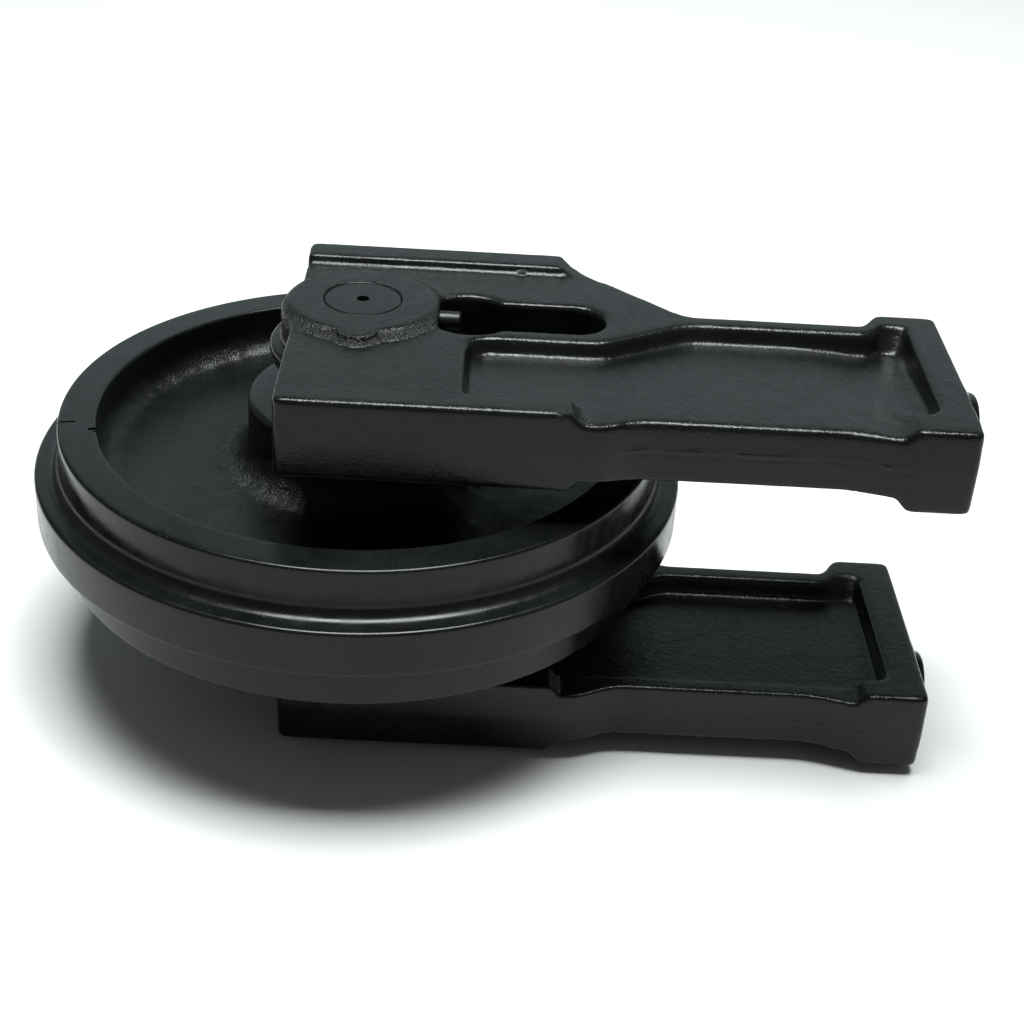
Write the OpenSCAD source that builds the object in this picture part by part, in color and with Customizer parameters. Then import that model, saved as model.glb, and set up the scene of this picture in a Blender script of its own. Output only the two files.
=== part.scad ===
// Front idler of a small crawler excavator: a flanged wheel that turns on a fixed shaft,
// held between two cast brackets whose arms reach back to the track tensioner.
// It lies on its side. Z is the wheel axis, X runs along the arms towards the tensioner,
// and the origin is the middle of the wheel.

/* [Wheel] */
// Outside diameter of the centre flange
flange_d = 360; // [352:1:390]
// Diameter of the tread on each side of the flange
tread_d = 334; // [316:1:338]
// Width over both treads
wheel_w = 78; // [68:1:90]
// Width of the centre flange
flange_w = 26; // [18:1:32]
// Radius of the hollow between tread and flange
tread_fillet = 10; // [4:0.5:10.5]
// Rounding of the wheel's outer edges
edge_round = 3; // [1:0.5:4]
// Inside diameter of the rim
rim_in_d = 292; // [276:1:300]
// Thickness of the web
web_t = 28; // [20:1:36]
// Radius of the cast hollow between web and rim
rim_fillet = 12; // [6:1:16]
// Outside diameter of the hub
hub_d = 126; // [118:1:140]
// Length of the hub
hub_w = 104; // [98:1:116]
// Radius of the cast hollow between web and hub
hub_fillet = 15; // [8:1:20]

/* [Shaft and bushes] */
// Diameter of the shaft ends held in the brackets
shaft_d = 42; // [36:0.5:46]
// Diameter of the journal that the bushes run on
journal_d = 50; // [48:0.5:54]
// Depth of the flat on each shaft end that stops it turning
flat_depth = 1.2; // [0.8:0.1:2]
// Length of that flat
flat_l = 24; // [14:1:24]
// Chamfer on the shaft ends and the bracket bores
shaft_chamfer = 0.6; // [0.2:0.1:1]
// Wall of a bush
bush_wall = 4; // [3:0.5:5]
// How far a bush flange stands out from the sleeve
bush_flange_w = 5; // [3:0.5:6]
// Thickness of a bush flange
bush_flange_t = 4; // [3:0.5:5]
// Radial running clearance between journal and bush
running_gap = 0.05; // [0.02:0.01:0.1]
// Running gap between bush flange and bracket nose
thrust_gap = 0.05; // [0.02:0.01:0.1]
// Width of the oil space between the bushes
oil_space_w = 12; // [6:1:20]
// How far the oil space is cut back behind the bushes
oil_space_depth = 3; // [1:0.5:5]
// Diameter of the oil gallery along the shaft
gallery_d = 7; // [6:0.5:9]
// Diameter of the cross drilling that feeds the oil space
feed_d = 5; // [4:0.5:8]
// Length of a gallery plug
plug_l = 9; // [6:0.5:12]
// How deep a gallery plug sits below the shaft end
plug_sink = 10; // [4:0.5:14]
// Width across the flats of a plug's socket
plug_socket = 3; // [2:0.5:4]
// Depth of the O-ring groove in the shaft
oring_depth = 2.4; // [1.8:0.1:3]
// Distance of the O-ring from the bracket's inner face
oring_inset = 16; // [12:1:20]
// Gap left at pressed and seated fits
fit_gap = 0.02; // [0.01:0.01:0.05]

/* [Floating seals] */
// Diameter of the seal recess in hub and bracket
recess_d = 82; // [80.5:0.5:86]
// Depth of the seal recess
recess_depth = 12; // [11:0.5:15]
// Gap between the hub end and the bracket boss
hub_gap = 2; // [1:0.5:4]
// Inside diameter of the metal seal rings
ring_in_d = 63; // [62:0.5:65]
// Diameter of a ring behind its lapped face
ring_neck_d = 73; // [71:0.5:74]
// Diameter of a ring at its back
ring_back_d = 70; // [68:0.5:71]
// Diameter of the lapped face
ring_face_d = 79; // [76:0.5:80]
// Thickness of the lapped flange of a ring
ring_face_t = 3.5; // [2:0.5:4]
// Gap between the back of a ring and the bush flange
ring_back_gap = 0.5; // [0.3:0.1:1]
// Oil film between the two lapped faces
film_gap = 0.05; // [0.02:0.01:0.1]
// Gap left round the rubber rings
rubber_gap = 0.1; // [0.05:0.05:0.2]

/* [Bracket body] */
// Thickness of the bracket between its inner and outer faces
bracket_t = 44; // [38:1:52]
// Distance from the shaft axis to the front end of the block
block_front = 36; // [30:1:40]
// Distance from the shaft axis to the near guide face
near_reach = 115.5; // [110:0.5:124]
// Distance from the shaft axis to the far guide face
far_reach = 71.5; // [66:0.5:80]
// Distance from the shaft axis to the end face of the arm
arm_reach = 317.5; // [300:0.5:340]
// Distance from the shaft axis to the near side of the arm
arm_near = 106.5; // [102:0.5:108]
// Distance from the shaft axis to the far side of the arm
arm_far = 9.5; // [4:0.5:14]
// Where the block starts to narrow to the arm, on the near side
neck_start = 126; // [120:1:132]
// Length of that narrowing
neck_l = 21; // [16:1:30]
// Where the far side starts to slope in to the arm
slope_start = 112; // [104:1:118]
// Length of that slope
slope_l = 65; // [56:1:80]
// Thickness of the end flange along the arm
end_flange_t = 33; // [30:1:42]
// Distance from the shaft axis to the near side of the end flange
end_near = 114.5; // [110:0.5:120]
// Distance from the shaft axis to the far side of the end flange
end_far = 22; // [16:0.5:26]
// Run of the flare on the far side of the end flange
far_flare = 10; // [6:0.5:14]
// Run of the flare on the near side of the end flange
near_flare = 30; // [20:1:40]

/* [Bracket boss and guides] */
// Height of the boss above the outer face
boss_h = 4.5; // [2:0.5:8]
// Diameter of the boss's top face
boss_d = 80; // [72:1:84]
// Diameter of the boss's wall where it stands clear of the block
boss_wall_d = 88.5; // [86:0.5:92]
// Diameter of the cast skirt round the boss on the outer face
boss_skirt_d = 94; // [90:1:100]
// Diameter of the round ledge in front of the block
ledge_d = 101.5; // [98:0.5:106]
// Depth of that ledge below the outer face
ledge_drop = 19; // [14:0.5:22]
// Height of the ledge's side
ledge_h = 9; // [6:1:12]
// Diameter of the inner boss that faces the hub
inner_boss_d = 92; // [90:0.5:96]
// Height of the inner boss above the inner face
inner_boss_h = 6.5; // [4:0.5:10]
// Diameter of the nose that runs against the bush flange
nose_d = 60; // [58:0.5:61]
// Width of the lug on the near side of the boss
lug_w = 22; // [16:1:26]
// Distance from the shaft axis to the tip of the lug
lug_reach = 49; // [45:0.5:56]
// Run of the cast skirt round the lug's end
lug_skirt = 4; // [1:0.5:6]
// Height of the far guide rail above the outer face
rail_h = 5.8; // [4:0.2:8]
// Width of the far guide rail
rail_w = 16; // [10:0.5:18]
// Where the far guide rail ends
rail_end = 109; // [100:1:112]
// Width of the near guide strip
strip_w = 19; // [14:0.5:21]
// Where the near guide strip ends
strip_end = 111.5; // [104:0.5:114]

/* [Bracket pockets and slot] */
// Depth of the outer pocket at the near side
pocket_depth = 6.5; // [5:0.5:9]
// Slope of the outer pocket's floor, deeper towards the far side
floor_slope = 2; // [0:0.25:3]
// Depth of the inner pocket
inner_depth = 9.5; // [7:0.5:12]
// Depth of the step from the inner face to the near lip
lip_drop = 6; // [4:0.5:7]
// Width of the near lip on the inner face
lip_w = 9.5; // [6:0.5:14]
// Width of the far lip
far_lip_w = 12; // [8:0.5:14]
// Run of the pockets' sloping walls
wall_run = 2.5; // [1:0.5:6]
// Where the pockets start
pocket_start = 57.5; // [54:0.5:64]
// Where the pockets' far edge starts to slope out to the arm
pocket_bend = 130; // [124:1:142]
// Distance from the shaft axis to the pockets' far edge in the block
pocket_far = 31.5; // [29:0.5:40]
// Wall between the pockets and the end face
end_wall = 20.5; // [12:0.5:22]
// Wall between the pockets and the far side of the end flange
end_far_wall = 14; // [10:0.5:16]
// Width of the near foot of the end flange
foot_w = 20.5; // [16:0.5:26]
// Where the access slot starts
slot_start = 42; // [40:0.5:44]
// Where the access slot ends
slot_end = 132; // [120:1:136]
// Width of the access slot
slot_w = 33; // [28:1:35]
// Depth of the access slot
slot_depth = 26; // [20:1:30]
// How far the slot's middle lies to the near side of the shaft axis
slot_offset = 3; // [0:0.5:4]
// Diameter of the slot's wide end
slot_bulb_d = 48; // [40:1:49]

/* [Bracket corners] */
// Rounding of the outer corners
outer_corner = 5; // [3:0.5:7]
// Rounding where block and arm run into each other
neck_corner = 8; // [5:0.5:8.5]
// Rounding of the pockets' corner in the block
pocket_corner = 14; // [8:0.5:18]
// Rounding of the small corners in the pockets
edge_corner = 3; // [1:0.5:4]

/* [Lock pin and end mounts] */
// Diameter of the lock pin
lock_d = 10.5; // [8:0.5:12]
// Depth of the lock pin below the shaft end
lock_drop = 10.5; // [9:0.5:13]
// How far the lock pin bites into the shaft
lock_bite = 11; // [8:0.5:12]
// How far the lock pin stands out in the slot
lock_proud = 11.5; // [4:0.5:16]
// Diameter of the locating spigot on the end face
spigot_d = 38; // [30:1:38]
// Height of the locating spigot
spigot_h = 6; // [4:0.5:8]
// Chamfer of the locating spigot
spigot_chamfer = 1.5; // [0.5:0.5:2]
// Distance from the shaft axis to the spigot, on the near side
spigot_offset = 65; // [63:0.5:67]
// Core diameter of the tapped holes in the end face
bolt_core_d = 14; // [10:0.5:15]
// Spacing of the tapped holes across the end face
bolt_spacing = 100; // [98:1:104]
// Distance from the shaft axis to the middle of the tapped holes
bolt_offset = 48; // [46:0.5:50]
// Depth of the tapped holes
bolt_depth = 26; // [20:1:28]

/* [Hidden] */
$fn = 96;
corner_steps = 4;
overlap = 1;
flange_r = flange_d / 2;
tread_r = tread_d / 2;
rim_in_r = rim_in_d / 2;
hub_r = hub_d / 2;
tread_hollow = min(tread_fillet, flange_r - tread_r - edge_round);
shaft_r = shaft_d / 2;
journal_r = journal_d / 2;
bush_in_r = journal_r + running_gap;
bush_out_r = bush_in_r + bush_wall;
recess_r = recess_d / 2;
gallery_r = gallery_d / 2;
lock_r = lock_d / 2;
// Heights along the wheel axis, from the middle of the wheel outwards
hub_end = hub_w / 2;
recess_floor = hub_end - recess_depth;
thrust_face = recess_floor + bush_flange_t;
nose_end = thrust_face + thrust_gap;
seal_plane = hub_end + hub_gap / 2;
inner_boss_end = hub_end + hub_gap;
inner_face = inner_boss_end + inner_boss_h;
outer_face = inner_face + bracket_t;
mid_plane = inner_face + bracket_t / 2;
boss_top = outer_face + boss_h;
oring_z = inner_face + oring_inset;
lock_z = boss_top - lock_drop;
bore_r = shaft_r + fit_gap;
flat_y = shaft_r - flat_depth;
flat_foot = boss_top - flat_l;
// The O-ring fills its groove up to the bore, but for the gap round the rubber
groove_r = shaft_r - oring_depth;
oring_section_r = (bore_r - groove_r - rubber_gap) / 2;
oring_centre_r = (bore_r + groove_r) / 2;
groove_w = 2.6 * oring_section_r;
// A rubber ring touches the recess wall, the lapped flange and the ring's taper
ring_w = recess_depth + hub_gap / 2 - bush_flange_t - ring_back_gap;
taper_angle = atan((ring_neck_d - ring_back_d) / 2 / (ring_w - ring_face_t));
toric_room = recess_r - ring_neck_d / 2;
toric_reach = toric_room * cos(taper_angle) / (1 + cos(taper_angle) - sin(taper_angle));
toric_section_r = toric_reach - rubber_gap;
toric_centre_r = recess_r - toric_reach;
toric_drop = ring_face_t + toric_reach;
// Plan of the bracket
step_run = pocket_depth;
foot_start = arm_reach - end_flange_t;
pocket_end = arm_reach - end_wall;
strip_in = near_reach - strip_w;
lip_in = arm_near - lip_w;
pocket_arm = arm_far - far_lip_w;
pocket_end_far = end_far - end_far_wall;
foot_in = end_near - foot_w;
// Point in the pockets from which all their corners are seen
pocket_hub = [foot_start - 5 * far_flare, -(foot_in + lip_in) / 3];
rail_in = far_reach - rail_w;
beyond = near_reach + strip_w;
black_paint = [0.13, 0.15, 0.15];
bare_steel = [0.55, 0.56, 0.57];
bronze = [0.72, 0.55, 0.30];
rubber = [0.05, 0.05, 0.05];

// Points of an outline whose corners [x, y, trim] are rounded by a curve that starts trim before each
function toward(a, b, trim) = a + trim * (b - a) / norm(b - a);
function xy(corner) = [corner.x, corner.y];
function bend(p, q, r, t) = (1 - t) * (1 - t) * p + 2 * t * (1 - t) * q + t * t * r;
function rounded(corners) = [
    for (i = [0:len(corners) - 1])
        let (
            here = xy(corners[i]),
            before = xy(corners[(i + len(corners) - 1) % len(corners)]),
            after = xy(corners[(i + 1) % len(corners)]),
            start = toward(here, before, corners[i].z),
            stop = toward(here, after, corners[i].z)
        )
        for (k = [0:corner_steps]) bend(start, here, stop, k / corner_steps)
];

// Solid between two outlines with the same number of points; the first is at height z,
// the second is the floor, whose height is given for each of its points. Both ends are
// drawn as triangles from the hub, a point that sees every corner
module loft(rim, z, floor_points, floor_heights, hub, hub_height) {
    n = len(rim);
    points = concat(
        [for (p = rim) [p.x, p.y, z]],
        [for (i = [0:n - 1]) [floor_points[i].x, floor_points[i].y, floor_heights[i]]],
        [[hub.x, hub.y, z], [hub.x, hub.y, hub_height]]
    );
    up = hub_height < z;
    faces = [
        for (i = [0:n - 1])
            let (j = (i + 1) % n)
            each [[i, j, n + i], [j, n + j, n + i], [j, i, 2 * n], [n + i, n + j, 2 * n + 1]]
    ];
    polyhedron(points, up ? faces : [for (f = faces) [f[2], f[1], f[0]]]);
}

// Cast hollow in an inner corner; toward_x and toward_y point into the open space
module hollow(corner, r, toward_x, toward_y) {
    translate(corner)
        scale_signs(toward_x, toward_y)
            difference() {
                translate([-overlap, -overlap])
                    square(r + overlap);
                translate([r, r])
                    circle(r);
            }
}

// What a rounded outer edge takes away; toward_x and toward_y point out of the material
module rounding(corner, r, toward_x, toward_y) {
    translate(corner)
        scale_signs(toward_x, toward_y)
            difference() {
                translate([-r, -r])
                    square(r + overlap);
                translate([-r, -r])
                    circle(r);
            }
}

module scale_signs(x, y) {
    mirror([x < 0 ? 1 : 0, 0])
        mirror([0, y < 0 ? 1 : 0])
            children();
}

// Rectangle between two corners of a turned profile
module turned(r0, z0, r1, z1) {
    translate([r0, z0])
        square([r1 - r0, z1 - z0]);
}

// Wheel
module wheel_half_profile() {
    difference() {
        union() {
            turned(rim_in_r, -overlap, tread_r, wheel_w / 2);
            turned(rim_in_r, -overlap, flange_r, flange_w / 2);
            turned(hub_r - overlap, -overlap, rim_in_r + overlap, web_t / 2);
            turned(bush_out_r, -overlap, hub_r, hub_end);
            hollow([tread_r, flange_w / 2], tread_hollow, 1, 1);
            hollow([rim_in_r, web_t / 2], rim_fillet, -1, 1);
            hollow([hub_r, web_t / 2], hub_fillet, 1, 1);
        }
        turned(0, recess_floor, recess_r, hub_end + overlap);
        turned(0, -2 * overlap, bush_out_r + oil_space_depth, oil_space_w / 2);
        rounding([flange_r, flange_w / 2], edge_round, 1, 1);
        rounding([tread_r, wheel_w / 2], edge_round, 1, 1);
        rounding([rim_in_r, wheel_w / 2], edge_round / 2, -1, 1);
        rounding([hub_r, hub_end], edge_round, 1, 1);
    }
}

module idler_wheel() {
    color(black_paint)
        rotate_extrude()
            union() {
                wheel_half_profile();
                mirror([0, 1])
                    wheel_half_profile();
            }
}

// Bushes and shaft
module bush() {
    color(bronze)
        rotate_extrude()
            polygon([
                [bush_in_r, oil_space_w / 2],
                [bush_out_r, oil_space_w / 2],
                [bush_out_r, recess_floor],
                [bush_out_r + bush_flange_w, recess_floor],
                [bush_out_r + bush_flange_w, thrust_face],
                [bush_in_r, thrust_face]
            ]);
}

module shaft_blank() {
    rotate_extrude()
        polygon([
            [0, -boss_top],
            [shaft_r - shaft_chamfer, -boss_top],
            [shaft_r, -boss_top + shaft_chamfer],
            [shaft_r, -nose_end],
            [journal_r, -nose_end],
            [journal_r, nose_end],
            [shaft_r, nose_end],
            [shaft_r, boss_top - shaft_chamfer],
            [shaft_r - shaft_chamfer, boss_top],
            [0, boss_top]
        ]);
}

// Everything cut into one end of the shaft
module shaft_end_cuts() {
    translate([-shaft_r, -flat_y - shaft_r, flat_foot])
        cube([shaft_d, shaft_r, flat_l + overlap]);
    translate([0, 0, oring_z])
        rotate_extrude()
            turned(groove_r, -groove_w / 2, shaft_r + overlap, groove_w / 2);
    translate([shaft_r - lock_bite, 0, lock_z])
        rotate([0, 90, 0])
            cylinder(r = lock_r + fit_gap, h = lock_bite + overlap);
}

module shaft() {
    color(bare_steel)
        difference() {
            shaft_blank();
            cylinder(r = gallery_r, h = 2 * boss_top + 2 * overlap, center = true);
            rotate([0, 90, 0])
                cylinder(d = feed_d, h = journal_d + 2 * overlap, center = true);
            shaft_end_cuts();
            mirror([0, 0, 1])
                shaft_end_cuts();
        }
}

module shaft_oring() {
    color(rubber)
        translate([0, 0, oring_z])
            rotate_extrude()
                translate([oring_centre_r, 0])
                    circle(oring_section_r);
}

module oil_plug() {
    color(bare_steel)
        translate([0, 0, boss_top - plug_sink - plug_l])
            difference() {
                cylinder(r = gallery_r - fit_gap, h = plug_l);
                translate([0, 0, plug_l / 2])
                    cylinder(d = plug_socket / cos(30), h = plug_l, $fn = 6);
            }
}

module lock_pin() {
    length = slot_start + lock_proud - (shaft_r - lock_bite) - fit_gap;
    color(bare_steel)
        translate([shaft_r - lock_bite + fit_gap, 0, lock_z])
            rotate([0, 90, 0])
                rotate_extrude()
                    polygon([
                        [0, 0],
                        [lock_r - overlap, 0],
                        [lock_r, overlap],
                        [lock_r, length - overlap],
                        [lock_r - overlap, length],
                        [0, length]
                    ]);
}

// Floating seals: each half is drawn for the side away from the seal plane
module seal_ring() {
    face = film_gap / 2;
    color(bare_steel)
        rotate_extrude()
            polygon([
                [ring_in_d / 2, face],
                [ring_face_d / 2, face],
                [ring_face_d / 2, ring_face_t],
                [ring_neck_d / 2, ring_face_t],
                [ring_back_d / 2, ring_w],
                [ring_in_d / 2, ring_w]
            ]);
}

module toric() {
    color(rubber)
        translate([0, 0, toric_drop])
            rotate_extrude()
                translate([toric_centre_r, 0])
                    circle(toric_section_r);
}

module on_bracket_side() {
    translate([0, 0, seal_plane])
        children();
}

module on_wheel_side() {
    translate([0, 0, seal_plane])
        mirror([0, 0, 1])
            children();
}

// Brackets: the plan of the whole casting
bracket_plan = rounded([
    [-block_front, -near_reach, outer_corner],
    [neck_start, -near_reach, neck_corner],
    [neck_start + neck_l, -arm_near, neck_corner],
    [foot_start - near_flare, -arm_near, neck_corner],
    [foot_start, -end_near, outer_corner],
    [arm_reach, -end_near, outer_corner],
    [arm_reach, end_far, outer_corner],
    [foot_start, end_far, edge_corner],
    [foot_start - far_flare, arm_far, edge_corner],
    [slope_start + slope_l, arm_far, neck_corner],
    [slope_start, far_reach, outer_corner],
    [-block_front, far_reach, outer_corner]
]);

module block_and_arm(z0, z1) {
    translate([0, 0, z0])
        linear_extrude(z1 - z0)
            polygon(bracket_plan);
}

// Boss, round ledge, inner boss and nose, turned round the shaft axis
module turned_boss() {
    ledge_top = outer_face - ledge_drop;
    ledge_foot = ledge_top - ledge_h;
    rotate_extrude()
        polygon([
            [0, nose_end],
            [nose_d / 2, nose_end],
            [nose_d / 2, inner_boss_end],
            [inner_boss_d / 2, inner_boss_end],
            [inner_boss_d / 2, ledge_foot - (ledge_d - inner_boss_d) / 2],
            [ledge_d / 2, ledge_foot],
            [ledge_d / 2, ledge_top - overlap],
            [ledge_d / 2 - overlap, ledge_top],
            [boss_wall_d / 2, ledge_top],
            [boss_wall_d / 2, outer_face],
            [boss_d / 2, boss_top],
            [0, boss_top]
        ]);
}

// The skirt leans against the boss's wall and runs out with the block's front end
module boss_skirt() {
    skirt_top = outer_face + boss_h * 3 / 4;
    intersection() {
        rotate_extrude()
            polygon([
                [0, outer_face - overlap],
                [boss_skirt_d / 2, outer_face - overlap],
                [boss_skirt_d / 2, outer_face],
                [boss_d / 2, skirt_top],
                [0, skirt_top]
            ]);
        block_and_arm(outer_face - overlap - overlap, boss_top + overlap);
    }
}

module boss_lug() {
    lug_r = lug_w / 2;
    translate([0, 0, outer_face - overlap]) {
        translate([0, lug_r - lug_reach, 0])
            cylinder(r = lug_r, h = boss_h + overlap);
        translate([0, lug_r - lug_reach, 0])
            cylinder(r1 = lug_r + lug_skirt, r2 = lug_r - overlap, h = boss_h * 2 / 3 + overlap);
        translate([-lug_r, lug_r - lug_reach, 0])
            cube([lug_w, lug_reach - lug_r - shaft_r, boss_h + overlap]);
    }
}

module far_rail() {
    intersection() {
        translate([0, far_reach, 0])
            rotate([90, 0, 0])
                linear_extrude(rail_w)
                    polygon([
                        [-block_front - overlap, outer_face - overlap],
                        [rail_end + rail_h + overlap, outer_face - overlap],
                        [rail_end, outer_face + rail_h],
                        [-block_front - overlap, outer_face + rail_h]
                    ]);
        block_and_arm(outer_face - 2 * overlap, outer_face + rail_h + overlap);
    }
}

module end_spigot() {
    translate([arm_reach - overlap, -spigot_offset, mid_plane])
        rotate([0, 90, 0])
            rotate_extrude()
                polygon([
                    [0, 0],
                    [spigot_d / 2, 0],
                    [spigot_d / 2, spigot_h + overlap - spigot_chamfer],
                    [spigot_d / 2 - spigot_chamfer, spigot_h + overlap],
                    [0, spigot_h + overlap]
                ]);
}

// Outer pocket: bounded by strip, block, far lip and end flange, open to the near side
function outer_floor(y) = outer_face - pocket_depth - (y + arm_near) * tan(floor_slope);

module outer_pocket() {
    slope_end = slope_start + slope_l;
    edge = rounded([
        [pocket_start, -strip_in, edge_corner],
        [strip_end, -strip_in, edge_corner],
        [strip_end, -beyond, overlap],
        [foot_start, -beyond, overlap],
        [foot_start, -foot_in, edge_corner],
        [pocket_end, -foot_in, neck_corner],
        [pocket_end, pocket_end_far, outer_corner],
        [foot_start + overlap, pocket_end_far, edge_corner],
        [foot_start - far_flare + overlap, pocket_arm, edge_corner],
        [slope_end, pocket_arm, neck_corner],
        [pocket_bend, -pocket_far, neck_corner],
        [pocket_start, -pocket_far, pocket_corner]
    ]);
    floor_points = rounded([
        [pocket_start + wall_run, -strip_in + wall_run / 2, edge_corner],
        [strip_end + step_run, -strip_in + wall_run / 2, edge_corner],
        [strip_end + step_run, -beyond, overlap],
        [foot_start - step_run, -beyond, overlap],
        [foot_start - step_run, -foot_in + wall_run, edge_corner],
        [pocket_end - wall_run, -foot_in + wall_run, neck_corner],
        [pocket_end - wall_run, pocket_arm - wall_run, outer_corner],
        [foot_start + overlap, pocket_arm - wall_run, edge_corner],
        [foot_start - far_flare + overlap, pocket_arm - wall_run, edge_corner],
        [slope_end, pocket_arm - wall_run, neck_corner],
        [pocket_bend, -pocket_far - wall_run, neck_corner],
        [pocket_start + wall_run, -pocket_far - wall_run, pocket_corner]
    ]);
    // The solid starts above the face, with its walls carried on upwards
    lift = overlap / pocket_depth;
    raised = [for (i = [0:len(edge) - 1]) edge[i] + lift * (edge[i] - floor_points[i])];
    floor_heights = [for (p = floor_points) outer_floor(p.y)];
    loft(raised, outer_face + overlap, floor_points, floor_heights, pocket_hub, outer_floor(pocket_hub.y));
}

// Inner pocket: the same plan with a lip on the near side
module inner_pocket() {
    slope_end = slope_start + slope_l;
    edge = rounded([
        [pocket_start, -lip_in, outer_corner],
        [pocket_end, -lip_in, neck_corner],
        [pocket_end, pocket_end_far, outer_corner],
        [foot_start + overlap, pocket_end_far, edge_corner],
        [foot_start - far_flare + overlap, pocket_arm, edge_corner],
        [slope_end, pocket_arm, neck_corner],
        [pocket_bend, -pocket_far, neck_corner],
        [pocket_start, -pocket_far, pocket_corner]
    ]);
    floor_points = rounded([
        [pocket_start + wall_run, -lip_in + wall_run / 2, outer_corner],
        [pocket_end - wall_run, -lip_in + wall_run / 2, neck_corner],
        [pocket_end - wall_run, pocket_arm - wall_run, outer_corner],
        [foot_start + overlap, pocket_arm - wall_run, edge_corner],
        [foot_start - far_flare + overlap, pocket_arm - wall_run, edge_corner],
        [slope_end, pocket_arm - wall_run, neck_corner],
        [pocket_bend, -pocket_far - wall_run, neck_corner],
        [pocket_start + wall_run, -pocket_far - wall_run, pocket_corner]
    ]);
    lift = overlap / inner_depth;
    raised = [for (i = [0:len(edge) - 1]) edge[i] + lift * (edge[i] - floor_points[i])];
    floor_z = inner_face + inner_depth;
    loft(raised, inner_face - overlap, floor_points, [for (p = floor_points) floor_z], pocket_hub, floor_z);
}

// The near side of the arm is lower than the guide strip and the end flange on the inner face
module near_lip_step() {
    translate([0, -lip_in + overlap, 0])
        rotate([90, 0, 0])
            linear_extrude(beyond - lip_in)
                polygon([
                    [strip_end - overlap, inner_face - overlap],
                    [foot_start + overlap, inner_face - overlap],
                    [foot_start - lip_drop, inner_face + lip_drop],
                    [strip_end + lip_drop, inner_face + lip_drop]
                ]);
}

module access_slot() {
    end_r = slot_w / 2;
    translate([0, -slot_offset, outer_face - slot_depth])
        linear_extrude(slot_depth + boss_h + overlap) {
            intersection() {
                translate([slot_start + slot_bulb_d / 3, 0])
                    circle(d = slot_bulb_d);
                translate([slot_start, -slot_bulb_d])
                    square(2 * slot_bulb_d);
            }
            translate([slot_start + slot_bulb_d / 3, -end_r])
                square([slot_end - end_r - slot_start - slot_bulb_d / 3, slot_w]);
            translate([slot_end - end_r, 0])
                circle(end_r);
        }
}

// Bore for the shaft, with the flat that matches the one on the shaft end
module shaft_bore() {
    difference() {
        translate([0, 0, nose_end - overlap])
            cylinder(r = bore_r, h = boss_top - nose_end + 2 * overlap);
        translate([-bore_r - overlap, -flat_y - fit_gap - shaft_r, flat_foot + fit_gap])
            cube([2 * (bore_r + overlap), shaft_r, flat_l + 3 * overlap]);
    }
    translate([0, 0, boss_top - shaft_chamfer])
        cylinder(r1 = bore_r, r2 = bore_r + shaft_chamfer + fit_gap, h = shaft_chamfer + fit_gap);
}

module seal_recess() {
    translate([0, 0, inner_boss_end - overlap])
        difference() {
            cylinder(r = recess_r, h = recess_depth + overlap);
            translate([0, 0, -overlap])
                cylinder(d = nose_d, h = recess_depth + 3 * overlap);
        }
}

module lock_hole() {
    translate([shaft_r - lock_bite, 0, lock_z])
        rotate([0, 90, 0])
            cylinder(r = lock_r + fit_gap, h = slot_start - shaft_r + lock_bite + overlap);
}

module end_bolt_holes() {
    for (side = [-1, 1])
        translate([arm_reach - bolt_depth, side * bolt_spacing / 2 - bolt_offset, mid_plane])
            rotate([0, 90, 0])
                cylinder(d = bolt_core_d, h = bolt_depth + overlap);
}

module bracket() {
    color(black_paint)
        difference() {
            union() {
                block_and_arm(inner_face, outer_face);
                turned_boss();
                boss_skirt();
                boss_lug();
                far_rail();
                end_spigot();
            }
            outer_pocket();
            inner_pocket();
            near_lip_step();
            access_slot();
            shaft_bore();
            seal_recess();
            lock_hole();
            end_bolt_holes();
        }
}

module below() {
    mirror([0, 0, 1])
        children();
}

idler_wheel();
shaft();
bracket();  // upper_bracket
below() bracket();  // lower_bracket
bush();  // upper_bush
below() bush();  // lower_bush
on_wheel_side() seal_ring();  // upper_wheel_seal_ring
on_bracket_side() seal_ring();  // upper_bracket_seal_ring
below() on_wheel_side() seal_ring();  // lower_wheel_seal_ring
below() on_bracket_side() seal_ring();  // lower_bracket_seal_ring
on_wheel_side() toric();  // upper_wheel_toric
on_bracket_side() toric();  // upper_bracket_toric
below() on_wheel_side() toric();  // lower_wheel_toric
below() on_bracket_side() toric();  // lower_bracket_toric
shaft_oring();  // upper_shaft_oring
below() shaft_oring();  // lower_shaft_oring
lock_pin();  // upper_lock_pin
below() lock_pin();  // lower_lock_pin
oil_plug();  // upper_oil_plug
below() oil_plug();  // lower_oil_plug
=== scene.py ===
"""Looks of an excavator front idler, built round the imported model.

A flanged wheel turns on a fixed shaft between two sand-cast brackets, all painted black.
Sizes are in millimetres, in the model's own frame, until a mesh is written in metres.
"""
import itertools
import logging
import math
from dataclasses import dataclass
from enum import Enum

import bmesh
import bpy
import numpy as np
from mathutils import Matrix, Vector


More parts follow.
